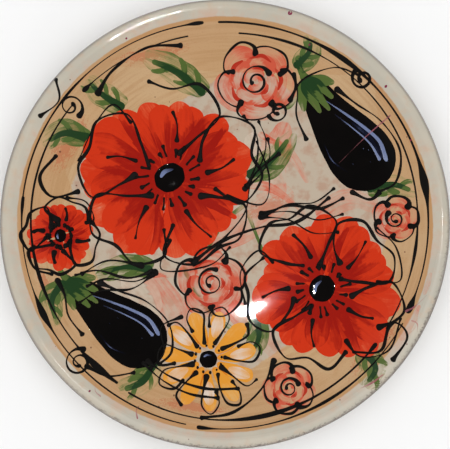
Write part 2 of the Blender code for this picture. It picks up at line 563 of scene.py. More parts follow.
points, quads, triangles = turned_body(section, is_turned.astype(float))
plate = make_piece("glazed_plate", points, quads, triangles, plate_glaze)
set_point_values(plate.data, "underside", round_values(is_below))
set_point_values(plate.data, "bare", round_values(is_bare))
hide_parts("plate")

# %% [markdown]
# ## The canvas
#
# A later stroke lies on the earlier ones and lets some of their colour through. Instead of solving
# that between meshes, the script keeps a canvas, a fine square grid over the plate, that remembers
# how high the paint stands, its colour, how much it hides, and how deep each pigment is. Each new
# stroke reads the canvas under its points, and then writes itself onto it.

# %% Pigments and the canvas
# Each pigment has three colours: thin, where the ground shows through, full, and deep, where
# strokes overlap or pool. The last number is the depth at which it hides what is beneath.
PIGMENTS = {
    "red": (linear(224, 98, 62), linear(212, 56, 26), linear(160, 28, 18), 0.45),
    "pink": (linear(218, 140, 114), linear(210, 92, 68), linear(182, 50, 34), 0.85),
    "green": (linear(152, 148, 94), linear(86, 106, 52), linear(36, 64, 34), 0.85),
    "ochre": (linear(232, 190, 124), linear(232, 156, 56), linear(214, 116, 30), 0.65),
    "white": (linear(220, 200, 178), linear(228, 212, 198), linear(234, 226, 218), 1.1),
    "black": (linear(52, 44, 46), linear(14, 11, 10), linear(8, 7, 7), 0.35),
    "blue": (linear(24, 30, 62), linear(118, 130, 166), linear(200, 206, 226), 0.75),
    "line": (linear(50, 36, 28), linear(13, 10, 8), linear(9, 7, 6), 0.3),
    "plum": (linear(176, 104, 112), linear(132, 46, 74), linear(104, 30, 56), 0.6),
}
# Depths between which a pigment starts to hide what is beneath, turns full, and turns deep.
COVER_FROM = 0.04
TO_FULL = (0.25, 0.8)
TO_DEEP = (1.15, 1.9)
CELL = 0.5
CELLS = 660
MARGIN = 4
canvas_height = np.zeros((CELLS, CELLS))
canvas_colour = np.zeros((CELLS, CELLS, 3))
canvas_cover = np.zeros((CELLS, CELLS))
canvas_depth = {name: np.zeros((CELLS, CELLS)) for name in PIGMENTS}
strokes = {name: [] for name in PIGMENTS}


def stroke_count():
    """How many strokes have been laid so far."""
    return sum(len(batch) for batch in strokes.values())


def cell_of(points):
    """Row and column of the canvas cell that each point (x, y) lies in."""
    index = np.clip(np.rint(points / CELL + CELLS / 2), 0, CELLS - 1).astype(int)
    return index[..., 1], index[..., 0]


def height_around(points, reach):
    """Canvas height near the points, each cell raised to the highest in reach, then softened."""
    row, column = cell_of(points)
    low_row, low_column = max(row.min() - MARGIN, 0), max(column.min() - MARGIN, 0)
    high = canvas_height[low_row:row.max() + MARGIN + 1, low_column:column.max() + MARGIN + 1]
    for axis in (0, 1):
        high = np.max([np.roll(high, shift, axis) for shift in range(-reach, reach + 1)], axis=0)
    for axis in (0, 1):
        high = (np.roll(high, 1, axis) + high + np.roll(high, -1, axis)) / 3
    return high[row - low_row, column - low_column]


def smooth(value, low, high):
    """Smooth step from 0 at low to 1 at high."""
    share = np.clip((value - low) / (high - low), 0, 1)
    return share * share * (3 - 2 * share)


def pigment_tone(pigment, depth):
    """Colour of a pigment at a depth: thin to full, then full to deep."""
    thin, full, deep = (np.array(c) for c in PIGMENTS[pigment][:3])
    tone = thin + (full - thin) * smooth(depth, *TO_FULL)[..., None]
    return tone + (deep - tone) * smooth(depth, *TO_DEEP)[..., None]


# %% [markdown]
# ## A brush stroke
#
# A stroke is a path with a half width at each of its points. The path is a Catmull-Rom curve, which
# passes through every point, so a list like [(x, y, half width), ...] is all that a stroke needs.
# The paint is a film with rounded edges: across it the height follows (1 - t^power)^(1/2), where t
# runs from -1 to 1. A high power is a flat film, and a power of 2 the round bead of trailed slip.
# The film closes underneath, just inside the glaze.

# %% Paths
READS_PER_SPAN = 16
CAP_ROWS = 6
EDGE_WAVE = 9.0
LEAST_HALF_WIDTH = 0.05


def curve_through(points):
    """Catmull-Rom curve through rows of (x, y, half width), densely read, and its length so far."""
    rows = np.asarray(points, float)
    ends = np.vstack([2 * rows[0] - rows[1], rows, 2 * rows[-1] - rows[-2]])
    u = np.linspace(0, 1, READS_PER_SPAN, endpoint=False)[:, None, None]
    a, b, c, d = ends[:-3], ends[1:-2], ends[2:-1], ends[3:]
    curve = (2 * b + (c - a) * u + (2 * a - 5 * b + 4 * c - d) * u ** 2
             + (3 * b - a - 3 * c + d) * u ** 3) / 2
    curve = np.vstack([curve.transpose(1, 0, 2).reshape(-1, 3), rows[-1]])
    run = np.hypot(*np.diff(curve[:, :2], axis=0).T)
    return curve, np.concatenate([[0], np.cumsum(run)])


def distances(total, caps, spacing):
    """Distances along a stroke: even in the body, and close together in the two rounded ends."""
    near = 1 - np.cos(np.linspace(0, math.pi / 2, CAP_ROWS)[:-1])
    steps = max(3, int((total - sum(caps)) / spacing) + 1)
    body = np.linspace(caps[0], total - caps[1], steps)
    return np.concatenate([caps[0] * near, body, total - caps[1] * near[::-1]])


def round_ends(at, total, caps, power):
    """1 in the body of a stroke, down to 0 at its ends by (1 - d^power)^(1/2), d from 0 to 1."""
    first = np.clip(1 - at / caps[0], 0, 1)
    last = np.clip(1 - (total - at) / caps[1], 0, 1)
    return np.sqrt(np.clip(1 - first ** power, 0, 1)) * np.sqrt(np.clip(1 - last ** power, 0, 1))


def stroke_grid(curve, length, at, across, caps, ragged, seed):
    """Grid of a stroke: path + left * half width * t, with round ends and a ragged edge."""
    rows = np.stack([np.interp(at, length, curve[:, k]) for k in range(3)], 1)
    ends = np.maximum(round_ends(at, length[-1], caps, 2), 0.02)
    turn = np.arange(1, 5)[:, None]
    shake = (np.sin(at / (EDGE_WAVE / turn) + seed * turn) / turn).sum(0)
    plain = np.maximum(rows[:, 2], LEAST_HALF_WIDTH)
    width = (plain + ragged * shake * np.minimum(1, rows[:, 2] / 3)) * ends
    along = np.gradient(rows[:, :2], at + np.arange(len(at)) * 1e-6, axis=0)
    along /= np.maximum(np.linalg.norm(along, axis=1), 1e-9)[:, None]
    left = np.stack([-along[:, 1], along[:, 0]], 1)
    return rows[:, None, :2] + left[:, None] * (across[None] * width[:, None])[:, :, None]


# %% Laying one stroke
# How far a film reaches into the glaze, and how far its outermost points are sunk.
FILM_BELOW = 0.12
KEEP_CLEAR = 0.02
# How much of the same paint below adds to the depth of a stroke.
BUILD_UP = 0.6
GOLDEN_TURN = 2.399
READS_PER_CELL = 1.6


def lay_curve(pigment, curve, length, film=0.05, power=8, load=(1.0, 1.0, 0.9), pool=0.25,
              ragged=0.25):
    """Adds one stroke of a pigment along a curve: the film's mesh, and its mark on the canvas.

    load is how much paint the brush holds at the start, middle and end. pool is the extra at the
    edges, and ragged is how far they wander."""
    seed = stroke_count() * GOLDEN_TURN
    total = length[-1]
    widest = curve[:, 2].max()
    end_halves = (curve[:3, 2].mean(), curve[-3:, 2].mean())
    caps = [float(np.clip(half, 0.3, total * 0.45)) for half in end_halves]

    def measured(at, across):
        grid = stroke_grid(curve, length, at, across, caps, ragged, seed)
        row, column = cell_of(grid)
        bead = np.sqrt(np.clip(1 - np.abs(across) ** power, 0, 1))
        shape = bead[None] * round_ends(at, total, caps, power)[:, None]
        lift = height_around(grid, 2) + film * shape
        edges = 1 + pool * (np.abs(across)[None] ** 5 - 0.3)
        depth = np.interp(at / total, [0, 0.5, 1], load)[:, None] * edges
        depth = depth + BUILD_UP * canvas_depth[pigment][row, column]
        return grid, row, column, lift, depth

    spacing = 1.45 if widest > 3 else 1.2
    at = distances(total, caps, spacing)
    columns = 5 if widest < 2.6 else int(np.ceil(2 * widest / spacing)) + 2
    even = np.linspace(-1, 1, columns)
    across = 0.5 * even + 0.5 * np.sin(even * math.pi / 2)
    grid, row, column, lift, depth = measured(at, across)
    cover = canvas_cover[row, column]
    under = canvas_colour[row, column] / np.maximum(cover, 0.01)[..., None]
    strokes[pigment].append((grid, lift, depth, under, cover, at, across, seed))

    fine_at = np.linspace(0, total, int(total / CELL * READS_PER_CELL) + 3)
    fine_across = np.linspace(-1, 1, int(2 * widest / CELL * READS_PER_CELL) + 3)
    grid, row, column, lift, depth = measured(fine_at, fine_across)
    seen = smooth(depth, COVER_FROM, PIGMENTS[pigment][3])
    hidden = (1 - seen)[..., None]
    tone = pigment_tone(pigment, depth)
    canvas_colour[row, column] = canvas_colour[row, column] * hidden + tone * (1 - hidden)
    canvas_cover[row, column] = 1 - (1 - canvas_cover[row, column]) * (1 - seen)
    canvas_height[row, column] = lift
    for other in canvas_depth:
        canvas_depth[other][row, column] *= 1 - seen
    canvas_depth[pigment][row, column] = depth


def lay(pigment, points, **how):
    """One brush stroke through rows of (x, y, half width)."""
    lay_curve(pigment, *curve_through(points), **how)


# %% [markdown]
# ## A trailed line
#
# Slip runs from the trailer's nozzle while it moves. Where the hand starts, it waits and leaves a
# blob that draws out into the line like a dart; on the way it is thin where the hand was fast. So
# the half width is the line's own, swelling slowly, plus a part that falls off from each end.

# %% Trailing slip
rng = np.random.default_rng(11)
LINE_FILM = 0.26
DROP_FILM = 0.3


def trail(places, half=0.8, start=1.7, end=1.1):
    """Black line through rows that start with x and y: half width = half * slow swell
    + start * exp(-(s/a)^1.5) + end * exp(-(s'/2.6)^2), with s and s' the distances from its two
    ends and a drawn from 3 to 6."""
    places = np.asarray(places, float)[:, :2]
    curve, length = curve_through(np.column_stack([places, np.full(len(places), half)]))
    back = length[-1] - length
    swell = np.sin(length / rng.uniform(6, 13) + rng.uniform(0, 6))
    swell = swell + 0.5 * np.sin(length / rng.uniform(2.5, 4))
    dart = start * rng.uniform(0.6, 1.25) * np.exp(-(length / rng.uniform(3, 6)) ** 1.5)
    drop = end * rng.uniform(0.5, 1.2) * np.exp(-(back / 2.6) ** 2)
    curve[:, 2] = half * (1 + 0.3 * swell) + dart + drop
    load = (1.3, 1.3, 1.3)
    lay_curve("line", curve, length, film=LINE_FILM, power=2, load=load, pool=0, ragged=0)


def dot(place, half):
    """One drop of slip."""
    x, y = place
    rows = [(x - half * 0.8, y, half), (x, y + 0.1, half), (x + half * 0.8, y, half)]
    lay("line", rows, film=DROP_FILM, power=2, pool=0, ragged=0)


# %% [markdown]
# ## The painted design
#
# The design is a loose garden posy in the usual colours of such ware: large orange-red poppies,
# pink peonies, an ochre daisy, dark aubergines and streaky green leaves. Each motif is a function
# of its middle and size, worked out in polar coordinates, and a seeded random draw shakes each
# stroke a little, as no two strokes of a brush are alike.

# %% Polar helpers
def polar(middle, turn, rows):
    """Rows of (distance, angle in degrees, half width) round a middle, as (x, y, half width)."""
    away, angle, half = np.asarray(rows, float).T
    angle = np.radians(angle + turn)
    x, y = middle[0] + away * np.cos(angle), middle[1] + away * np.sin(angle)
    return np.stack([x, y, half], 1)


def sized(rows, size, gap=1.0):
    """Rows of (distance, angle, half width) from shares of a motif's size and its petals' gap."""
    return np.asarray(rows, float) * (size, gap, size)


def shaken(rows, size):
    """Rows with each place moved at random by about size."""
    rows = np.array(rows, float)
    rows[:, :2] += rng.normal(0, size, (len(rows), 2))
    return rows


# %% Poppies
PETAL_PULL = [(0.12, 0.5, 0.05), (0.40, 0.8, 0.15), (0.74, 1.0, 0.20), (0.97, 1.02, 0.13)]
PETAL_EDGE = [(0.24, -0.14, 0), (0.52, -0.44, 0), (0.86, -0.50, 0), (1.03, -0.24, 0),
              (0.95, 0.0, 0), (1.04, 0.22, 0), (0.88, 0.48, 0), (0.56, 0.44, 0), (0.36, 0.2, 0)]
LOOSE_EDGE = [(0.70, -0.46, 0), (0.98, -0.44, 0), (1.10, -0.16, 0), (1.05, 0.14, 0)]
PETAL_LEANS = (-0.38, 0.38, -0.18, 0.20, 0.0)
STAMENS = 18


def poppy(middle, size, turn, petals):
    """Petals of five overlapping pulls each, with deeper strokes at their folds."""
    gap = 360 / petals
    for k in np.argsort(rng.random(petals)):
        grown = size * rng.uniform(0.92, 1.08)
        tilt = turn + k * gap + rng.normal(0, 4)
        for lean in PETAL_LEANS:
            rows = sized(PETAL_PULL, grown * rng.uniform(0.86, 1.03)) * (1, lean * gap, 1)
            load = (1.15, 0.9, rng.uniform(0.5, 0.95))
            lay("red", shaken(polar(middle, tilt, rows), 0.02 * size), load=load)
        side = rng.choice([-1, 1])
        fold = [(0.30, 0.16, 0.02), (0.58, 0.34, 0.05), (0.86, 0.40, 0.03)]
        fold = sized(fold, grown, gap * side)
        fold = shaken(polar(middle, turn + k * gap, fold), 0.02 * size)
        lay("red", fold, load=(1.0, 1.3, 0.8), film=0.03)
    for k in range(petals * 3):
        tip = (rng.uniform(0.46, 0.66), 0.05, 0.01)
        rows = sized([(0.22, 0, 0.014), (0.36, 0.02, 0.03), tip], size, gap)
        angle = turn + (k + rng.uniform(-0.3, 0.3)) * gap / 3
        lay("red", polar(middle, angle, rows), load=(1.2, 1.0, 0.7), film=0.03)


def poppy_lines(middle, size, turn, petals):
    """Outlines of the petals, veins, and the black seed head with its ring of stamens."""
    gap = 360 / petals
    for k in range(petals):
        edge = sized(PETAL_EDGE, size * rng.uniform(0.96, 1.05), gap)
        edge = edge[:rng.integers(6, 10)] if k % 2 else edge[::-1][:rng.integers(7, 10)]
        trail(shaken(polar(middle, turn + k * gap + 2, edge), 0.018 * size), half=0.95, start=2.3)
        if k % 2 == 0:
            loose = shaken(polar(middle, turn + k * gap, sized(LOOSE_EDGE, size, gap)), 0.03 * size)
            trail(loose, half=0.55, start=1.4, end=0.8)
        tip = (rng.uniform(0.72, 0.84), 0.10, 0)
        vein = sized([(0.40, -0.03, 0), (0.60, 0.02, 0), tip], size, gap)
        angle = turn + k * gap + rng.uniform(-6, 6)
        trail(polar(middle, angle, vein), half=0.7, start=1.8, end=0.7)
    oval(middle, 0.19 * size, 0.16 * size, turn + 20)
    for k in range(STAMENS):
        rows = sized([(0.23, 0, 0), (0.28, 3, 0), (rng.uniform(0.30, 0.40), 5, 0)], size)
        angle = turn + k * 360 / STAMENS + rng.uniform(-5, 5)
        trail(polar(middle, angle, rows), half=0.5, start=0.4, end=1.5)


# %% Dark ovals: seed heads and aubergines
def turned(middle, turn, rows):
    """Rows of (x, y, half width) turned by an angle in degrees and moved to a middle."""
    rows = np.asarray(rows, float)
    angle = math.radians(turn)
    spin = np.array([[math.cos(angle), -math.sin(angle)], [math.sin(angle), math.cos(angle)]])
    return np.column_stack([rows[:, :2] @ spin.T + middle, rows[:, 2]])


def oval(middle, half_length, half_width, turn):
    """Oval of black glaze with a pale stroke of shine: half widths follow an ellipse."""
    share = np.linspace(-0.95, 0.95, 9)
    rows = np.column_stack([half_length * share, 0 * share, half_width * np.sqrt(1 - share ** 2)])
    lay("black", turned(middle, turn, rows), load=(1.5, 1.6, 1.5), film=0.12, power=6, pool=0.1)
    scale = (half_length, half_width, half_width)
    shine = np.array([(-0.45, 0.35, 0.10), (-0.05, 0.52, 0.13), (0.45, 0.34, 0.05)]) * scale
    lay("blue", turned(middle, turn, shine), load=(1.0, 0.7, 0.3), film=0.03, pool=0.3)


BODY = [(-0.98, 0.10, 0.42), (-0.70, 0.06, 0.52), (-0.40, 0.02, 0.68), (-0.10, 0.0, 0.86),
        (0.20, 0.0, 0.99), (0.50, 0.0, 1.0), (0.78, 0.0, 0.96), (1.0, 0.0, 0.92)]
SHINE = [(-0.62, 0.20, 0.012), (-0.30, 0.40, 0.03), (0.05, 0.60, 0.045), (0.42, 0.72, 0.06),
         (0.74, 0.52, 0.085)]
SECOND_SHINE = [(-0.36, 0.16, 0.01), (0.0, 0.34, 0.02), (0.36, 0.46, 0.03), (0.66, 0.38, 0.06)]
GLOW = [(-0.45, 0.28, 0.05), (-0.05, 0.48, 0.10), (0.34, 0.58, 0.13), (0.66, 0.42, 0.10)]
LOW_SHINE = [(-0.1, -0.66, 0.01), (0.2, -0.78, 0.02), (0.5, -0.62, 0.01)]
STALK = [(-1.46, 0.36, 0.11), (-1.26, 0.16, 0.10), (-1.02, 0.10, 0.16)]
# How far each point of the cap leans to the side, and how far it reaches along the fruit.
CAP_POINTS = ((0.75, 0.10), (-0.75, 0.16), (0.38, 0.28), (-0.30, 0.34), (0.02, 0.40))
LOOSE_OUTLINE = [(-0.70, 0.66, 0), (-0.30, 0.86, 0), (0.20, 1.14, 0), (0.74, 1.02, 0),
                 (1.08, 0.36, 0), (1.04, -0.30, 0)]
LOW_OUTLINE = [(-1.3, -0.06, 0), (-1.0, -0.34, 0), (-0.72, -0.80, 0), (-0.30, -1.02, 0)]


def aubergine(middle, half_length, half_width, turn):
    """Black fruit, rounder at one end, with a bluish double shine, small specks and a green cap."""
    scale = (half_length, half_width, half_width)

    def part(pigment, rows, **how):
        lay(pigment, turned(middle, turn, np.array(rows) * scale), **how)

    part("black", BODY, load=(1.1, 1.6, 1.6), film=0.14, power=6, pool=0.1)
    part("blue", GLOW, load=(0.14, 0.26, 0.20), film=0.02, pool=0.1)
    part("blue", SHINE, load=(0.55, 0.95, 1.25), film=0.03, pool=0.2)
    part("blue", SECOND_SHINE, load=(0.5, 0.85, 1.2), film=0.03, pool=0.2)
    part("blue", LOW_SHINE, load=(0.2, 0.5, 0.2), film=0.02)
    for k in range(5):
        x, y = rng.uniform(-0.3, 0.6), rng.uniform(-0.4, 0.3)
        speck = [(x, y, 0.012), (x + 0.02, y + 0.01, 0.012)]
        part("blue", speck, load=(0.4, 0.4, 0.4), film=0.02)
    for lean, reach in CAP_POINTS:
        tip = (-0.86 + reach, 0.1 + lean * 0.85, 0.06)
        rows = [(-1.10, 0.10, 0.12), (-0.92, 0.1 + lean * 0.5, 0.17), tip]
        part("green", rows, load=(1.6, 1.2, 0.7), film=0.12)
    part("green", STALK, load=(0.9, 1.3, 1.5))


def aubergine_lines(middle, half_length, half_width, turn):
    """A loose outline that leaves the fruit, and a stroke at its cap."""
    scale = (half_length, half_width, half_width)
    trail(turned(middle, turn, np.array(LOOSE_OUTLINE) * scale), half=0.7, start=2.2, end=1.5)
    trail(turned(middle, turn, np.array(LOW_OUTLINE) * scale), half=0.8, start=1.4, end=2.0)


# %% Peonies
def peony(middle, size, turn):
    """Rings of curved strokes: each follows an arc round the middle, shorter and denser inwards."""
    for share, count, half in ((0.72, 5, 0.25), (0.44, 4, 0.20), (0.16, 2, 0.15)):
        for k in range(count):
            sweep = 360 / count * rng.uniform(1.0, 1.25)
            angle = np.linspace(0, sweep, 5)
            bulge = 1 + 0.10 * np.sin(np.radians(angle / sweep * 180))
            away = share * bulge * rng.uniform(0.92, 1.06)
            width = half * np.array([0.55, 0.95, 1.0, 0.8, 0.4])
            rows = sized(np.column_stack([away, angle, width]), size)
            petal = shaken(polar(middle, turn + k * 360 / count, rows), 0.015 * size)
            lay("pink", petal, load=(0.75, 0.45, rng.uniform(0.3, 0.7)), ragged=0.4)
    for share, count in ((0.62, 5), (0.34, 3)):
        for k in range(count):
            rows = [(share, 0, 0.02), (share * 1.06, 26, 0.06), (share * 0.96, 56, 0.02)]
            rows = sized(rows, size)
            lay("pink", polar(middle, turn + 30 + k * 360 / count, rows), load=(1.3, 1.6, 0.9))


def peony_lines(middle, size, turn):
    """Open loops that follow the outer petals, and one that winds into the middle."""
    for k in range(5):
        away = np.array([0.62, 0.90, 1.02, 0.98, 0.84, 0.66]) * rng.uniform(0.94, 1.04)
        rows = sized(np.column_stack([away, [-6, 2, 22, 48, 70, 74], 0 * away]), size)
        loop = shaken(polar(middle, turn + k * 72, rows), 0.02 * size)
        trail(loop, half=0.75, start=1.9, end=1.3)
    spiral(middle, 0.42 * size, 1.6, turn, half=0.7)


def spiral(middle, size, turns, turn, half=0.8):
    """A line that winds in: the distance falls evenly with the angle."""
    angle = np.linspace(0, turns * 360, int(turns * 9) + 2)
    rows = np.column_stack([size * (1 - angle / angle[-1] * 0.8), angle, 0 * angle])
    trail(polar(middle, turn, rows), half=half, start=1.7, end=1.5)


# %% The daisy
DAISY_EDGE = [(0.30, -0.16, 0), (0.60, -0.40, 0), (0.92, -0.36, 0), (1.06, 0.02, 0),
              (0.92, 0.38, 0), (0.62, 0.38, 0)]
EYE_DROPS = 12


def daisy(middle, size, turn, petals=11):
    """Ochre petals of one stroke each, half of them washed over with white."""
    gap = 360 / petals
    for k in np.argsort(rng.random(petals)):
        tip = (rng.uniform(0.94, 1.03), 3, 0.09)
        rows = sized([(0.20, 0, 0.05), (0.50, 0, 0.14), (0.80, 2, 0.155), tip], size)
        petal = shaken(polar(middle, turn + k * gap, rows), 0.014 * size)
        lay("ochre", petal, load=(1.5, 0.8, 0.7))
    for k in range(0, petals, 2):
        rows = sized([(0.44, 0, 0.05), (0.66, 1, 0.12), (0.90, 2, 0.07)], size)
        lay("white", polar(middle, turn + k * gap, rows), load=(0.5, 0.8, 0.35))


def daisy_lines(middle, size, turn, petals=11):
    """Outline of each petal, and the eye: a dark oval ringed with dots."""
    gap = 360 / petals
    for k in range(petals):
        edge = sized(DAISY_EDGE, size, gap)
        edge = edge[:4] if k % 3 == 1 else edge
        edge = shaken(polar(middle, turn + k * gap + 2, edge), 0.016 * size)
        trail(edge, half=0.7, start=1.7, end=1.2)
    oval(middle, 0.19 * size, 0.17 * size, turn)
    for k in range(EYE_DROPS):
        place = polar(middle, turn + k * 360 / EYE_DROPS, [(0.27 * size, 0, 0)])[0, :2]
        dot(place, rng.uniform(0.8, 1.3))


# %% Leaves
def leaf(points, half_width, wash=0.62):
    """Two streaky washes side by side, short pulls off the middle, and a dark pull up it."""
    path = np.asarray(points, float)
    path = curve_through(np.column_stack([path, path[:, 0]]))[0][::4, :2]
    ahead = np.gradient(path, axis=0)
    ahead /= np.linalg.norm(ahead, axis=1)[:, None]
    left = np.stack([-ahead[:, 1], ahead[:, 0]], 1)
    share = np.linspace(0, 1, len(path))
    belly = np.sin(math.pi * np.clip(share * 0.80 + 0.14, 0, 1)) ** 0.6
    for side in (-1, 1):
        middle = path + left * (side * half_width * 0.40 * belly)[:, None]
        widths = half_width * 0.62 * belly * rng.uniform(0.85, 1.1)
        load = np.array([1.2, 0.9, 0.5]) * wash * rng.uniform(0.6, 1.3)
        rows = np.column_stack([shaken(middle, 0.4), widths])
        lay("green", rows, load=load, pool=0.5, ragged=0.7)
    for k in range(4):
        spot = int(len(path) * (0.12 + 0.16 * k))
        side = left[spot] * half_width * (1 if k % 2 else -1)
        start, step = path[spot], ahead[spot] * half_width
        half_way, tip = start + step * 0.5 + side * 0.55, start + step * 1.1 + side * 0.8
        rows = [(*start, 1.3), (*half_way, 2.0), (*tip, 1.2)]
        lay("green", rows, load=(1.2, 0.8, 0.45), ragged=0.4)
    count = int(len(path) * 0.9)
    rib = path[:count] + left[:count] * half_width * 0.08
    widths = half_width * (0.16 + 0.20 * np.exp(-np.linspace(0, 1, count) * 2))
    lay("green", np.column_stack([rib, widths]), load=(2.0, 1.7, 1.1), film=0.08, ragged=0.4)


def stem(points, half=1.5):
    """A long green pull, thin and uneven."""
    path = np.asarray(points, float)
    widths = half * rng.uniform(0.7, 1.3, len(path))
    lay("green", np.column_stack([path, widths]), load=(1.5, 0.9, 0.5), film=0.07, ragged=0.3)


# %% The posy, from the back to the front
# Each motif: its middle, its sizes, its turn in degrees and, for a poppy, its petals.
POPPIES = [((-40.0, 34.0), 64.0, 14.0, 5), ((70.0, -46.0), 56.0, 40.0, 5),
           ((-118.0, -8.0), 27.0, 70.0, 4)]
AUBERGINES = [((86.0, 64.0), 45.0, 23.0, -52.0), ((-78.0, -70.0), 41.0, 21.5, -38.0)]
DAISY = ((-12.0, -97.0), 36.0, 8.0)
PEONIES = [((22.0, 103.0), 28.0, 20.0), ((-10.0, -42.0), 25.0, 60.0),
           ((122.0, 4.0), 16.0, 120.0), ((46.0, -117.0), 18.0, 10.0)]
# Thin washes under the posy. The last two are stains on the rim.
WASHES = [
    ("pink", [(-20, -14, 9), (14, 0, 13), (48, 26, 8)]),
    ("pink", [(-54, -36, 7), (-36, -64, 11), (-36, -88, 6)]),
    ("pink", [(44, 74, 7), (34, 44, 11), (40, 18, 6)]),
    ("pink", [(4, -58, 7), (20, -74, 9), (40, -96, 6)]),
    ("white", [(18, 66, 8), (28, 44, 11), (22, 20, 8)]),
    ("white", [(-74, -36, 7), (-58, -50, 10), (-50, -66, 7)]),
    ("pink", [(66, 6, 6), (88, 18, 9), (110, 14, 5)]),
    ("pink", [(24, 66, 3), (46, 52, 3.5), (60, 30, 2)]),
    ("pink", [(10, 30, 3), (34, 26, 3.5), (58, 8, 2)]),
    ("pink", [(-70, -26, 3), (-52, -36, 3.5), (-30, -34, 2)]),
    ("pink", [(138, -57, 2), (132, -70, 3.5), (124, -82, 2)]),
    ("pink", [(146, -34, 1), (144, -42, 2), (141, -50, 1.5)]),
]
STEMS = [
    [(-14, -20), (0, 2), (14, 14)], [(30, -26), (22, -6), (16, 10)],
    [(-30, -30), (-20, -52), (0, -72), (22, -84)], [(36, 96), (44, 84), (52, 92)],
]
LEAVES = [
    ([(-72, 84), (-88, 94), (-98, 104)], 9.5), ([(-96, 62), (-114, 66), (-130, 58)], 9.5),
    ([(-14, 94), (-34, 110), (-58, 120)], 10.0), ([(50, 112), (60, 122), (62, 132)], 8.0),
    ([(16, 34), (34, 46), (50, 66)], 9.5), ([(102, 24), (120, 28), (136, 22)], 8.0),
    ([(98, -90), (106, -102), (98, -114)], 9.5), ([(20, -62), (24, -80), (16, -96)], 8.0),
    ([(-50, -98), (-60, -112), (-76, -118)], 9.5), ([(-52, -32), (-72, -30), (-94, -36)], 9.0),
    ([(-116, -40), (-124, -54), (-120, -72)], 8.0),
]
for pigment, rows in WASHES:
    lay(pigment, rows, load=(0.50, 0.38, 0.26), film=0.02, ragged=0.8)
for path in STEMS:
    stem(path)
for path, width in LEAVES:
    leaf(path, width)
for spec in PEONIES:
    peony(*spec)
daisy(*DAISY)
for spec in AUBERGINES:
    aubergine(*spec)
for spec in reversed(POPPIES):
    poppy(*spec)
print(f"{stroke_count()} brush strokes")

# %% [markdown]
# ## Banding and outlines
#
# With the plate back on the wheel, two black rings go round it: the brush is pressed and lifted, so
# they swell and thin. The outlines come last, trailed freely over everything.

# %% Rings
def ring(radius, first, last, half, presses, wander=0.5):
    """A band round the plate from one angle to another. Its half width is half, plus for each press
    of the brush (angle, extra, spread) the extra times exp(-((a - angle) / spread)^2)."""
    angle = np.linspace(first, last, int((last - first) / 1.5) + 2)
    away = radius + wander * np.sin(np.radians(angle) * 3 + radius)
    width = half * (1 + 0.25 * np.sin(np.radians(angle) * 5 + radius))
    for at, extra, spread in presses:
        width = width + extra * np.exp(-((angle - at) / spread) ** 2)
    rows = polar((0, 0), 0, np.column_stack([away, angle, width]))
    lay("line", rows, film=0.12, power=5, load=(1.2, 1.2, 1.2), pool=0, ragged=0.05)


ring(144.8, 96, 176, 0.5, [(98, 1.0, 2), (140, 0.5, 5)])
ring(144.4, 172, 259, 0.5, [(206, 2.0, 4), (174, 0.6, 3)])
ring(144.9, 262, 331, 0.5, [(263, 1.1, 3), (300, 0.6, 7)])
ring(144.5, 334, 452, 0.65, [(336, 1.9, 2.5), (372, 2.1, 4.5), (414, 1.4, 8)])
ring(138.0, 101, 137, 0.5, [(136, 1.5, 1.5)], 1.2)
ring(137.6, 141, 236, 0.6, [(196, 0.9, 8), (228, 2.0, 5)], 1.2)
ring(138.2, 240, 322, 0.6, [(282, 1.3, 10), (321, 0.9, 2)], 1.2)
ring(137.8, 327, 446, 0.55, [(352, 0.8, 6), (430, 0.6, 7)], 1.2)

# %% Outlines
for spec in AUBERGINES:
    aubergine_lines(*spec)
for spec in PEONIES:
    peony_lines(*spec)
daisy_lines(*DAISY)
for spec in POPPIES:
    poppy_lines(*spec)
TENDRILS = [
    [(-24, -28), (-2, -12), (26, -2), (52, 2), (76, 20)], [(-6, -16), (14, 8), (20, 34), (40, 52)],
    [(-104, 24), (-124, 20), (-132, 34), (-120, 50)],
    [(-92, 92), (-80, 110), (-56, 126), (-30, 128)],
    [(36, -96), (26, -118), (6, -134), (-18, -138)],
    [(108, -74), (122, -70), (129, -80), (118, -97)],
    [(-58, -30), (-84, -26), (-104, -36)], [(-30, -66), (-46, -74), (-44, -92), (-54, -104)],
    [(46, 88), (56, 104), (78, 112), (96, 106)], [(-132, 76), (-118, 88), (-120, 104)],
    [(90, 24), (104, 18), (112, 24)], [(-100, -100), (-84, -108), (-64, -106)],
]
for path in TENDRILS:
    trail(path, half=rng.uniform(0.5, 1.1), start=2.3, end=1.5)


def sheaf(points, count, spread):
    """A bunch of stalks: one curve trailed several times, each turned a little round its start."""
    path = np.asarray(points, float)
    for k in range(count):
        turn = math.radians((k - (count - 1) / 2) * spread)
        spin = np.array([[math.cos(turn), -math.sin(turn)], [math.sin(turn), math.cos(turn)]])
        stalk = (path - path[0]) @ spin.T * rng.uniform(0.8, 1.05) + path[0] + rng.normal(0, 1.4, 2)
        trail(stalk, half=rng.uniform(0.4, 0.85), start=2.4, end=1.3)


SHEAVES = [
    ([(24, 6), (46, 10), (66, 6), (84, 12)], 4, 11),
    ([(14, 26), (26, 44), (30, 62), (24, 78)], 3, 14),
    ([(-48, -34), (-66, -42), (-88, -40), (-104, -46)], 3, 9),
    ([(-58, -98), (-40, -112), (-16, -122), (10, -124)], 2, 8),
]
for spec in SHEAVES:
    sheaf(*spec)
SPIRALS = [((-110, 84), 9, 1.4, 300), ((98, 104), 8, 1.4, 120), ((-104, -98), 10, 1.7, 60),
           ((38, 82), 8, 1.3, 200)]
for spec in SPIRALS:
    spiral(*spec)
print(f"{stroke_count()} strokes and lines in all")

